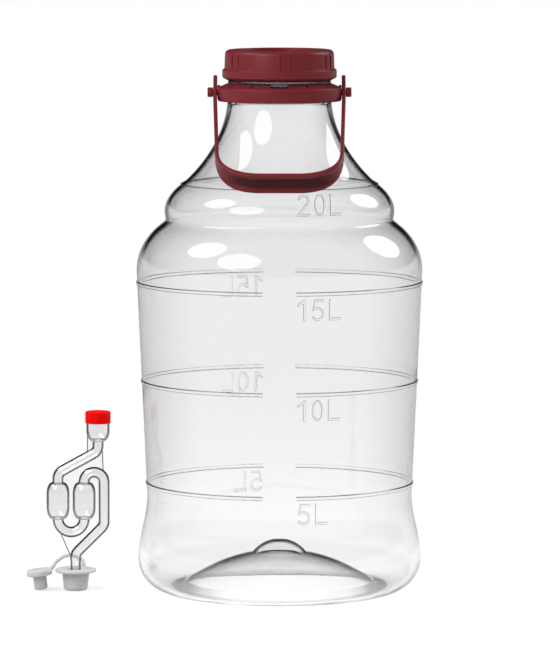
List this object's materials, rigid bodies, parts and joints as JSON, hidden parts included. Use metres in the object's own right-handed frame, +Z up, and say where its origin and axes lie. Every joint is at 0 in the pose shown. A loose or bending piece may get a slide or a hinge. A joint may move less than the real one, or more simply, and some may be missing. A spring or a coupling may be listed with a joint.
{
  "type": "demijohn with airlock",
  "caption": "Wide-mouth clear plastic demijohn with raised volume marks, swinging carry handle and holed screw cap, its bubble airlock standing beside it in a soft bung.",
  "frame": {"origin": "on the standing surface, at the middle of the footprint of the jar and the airlock together", "axes": "+Z up, +X from the airlock towards the jar, -Y towards the viewer of the picture"},
  "size_m": [0.3827, 0.2748, 0.5217],
  "materials": {
    "clear_pet": "clear, glossy blown PET",
    "clear_styrene": "clear, slightly milky moulded polystyrene",
    "burgundy_plastic": "semi-gloss moulded polypropylene",
    "red_plastic": "smooth moulded polyethylene",
    "silicone": "matt translucent silicone",
    "seal_rubber": "matt"
  },
  "bodies": {
    "jar": {"jar_body": "clear_pet", "handle_collar": "burgundy_plastic"},
    "bail": {"bail_handle": "burgundy_plastic"},
    "seal": {"cap_seal": "seal_rubber"},
    "cap": {"screw_cap": "burgundy_plastic"},
    "bung": {"bung": "silicone", "bung_strap": "silicone"},
    "plug": {"bung_plug": "silicone"},
    "airlock": {"airlock_tube": "clear_styrene"},
    "airlock_cap": {"airlock_cap": "red_plastic"}
  },
  "joints": [
    {"name": "bail_swing", "type": "hinge", "parent": "jar", "child": "bail", "pos_m": [0.05351, 0, 0.4814], "axis": [-1, 0, 0], "range_deg": [0, 255.5]},
    {"name": "cap_rise", "type": "slide", "parent": "jar", "child": "seal", "axis": [0, 0, 1], "range_m": [0, 0.0301]},
    {"name": "cap_turn", "type": "hinge", "parent": "seal", "child": "cap", "pos_m": [0.05351, 0, 0.5], "axis": [0, 0, 1], "range_deg": [0, 900]},
    {"name": "bung_lift", "type": "slide", "parent": "jar", "child": "bung", "axis": [0, 0, 1], "range_m": [0, 0.1]},
    {"name": "plug_swing", "type": "hinge", "parent": "bung", "child": "plug", "pos_m": [-0.1533, 0.013, 0.03], "axis": [0, 1, 0], "range_deg": [0, 75], "deforming": ["bung_strap"]},
    {"name": "airlock_pull", "type": "slide", "parent": "bung", "child": "airlock", "axis": [0, 0, 1], "range_m": [0, 0.04]},
    {"name": "airlock_cap_pull", "type": "slide", "parent": "airlock", "child": "airlock_cap", "axis": [0, 0, 1], "range_m": [0, 0.03]}
  ],
  "couplings": [
    {"joint": "cap_rise", "follows": "cap_turn", "m_per_rad": 0.0019099}
  ]
}
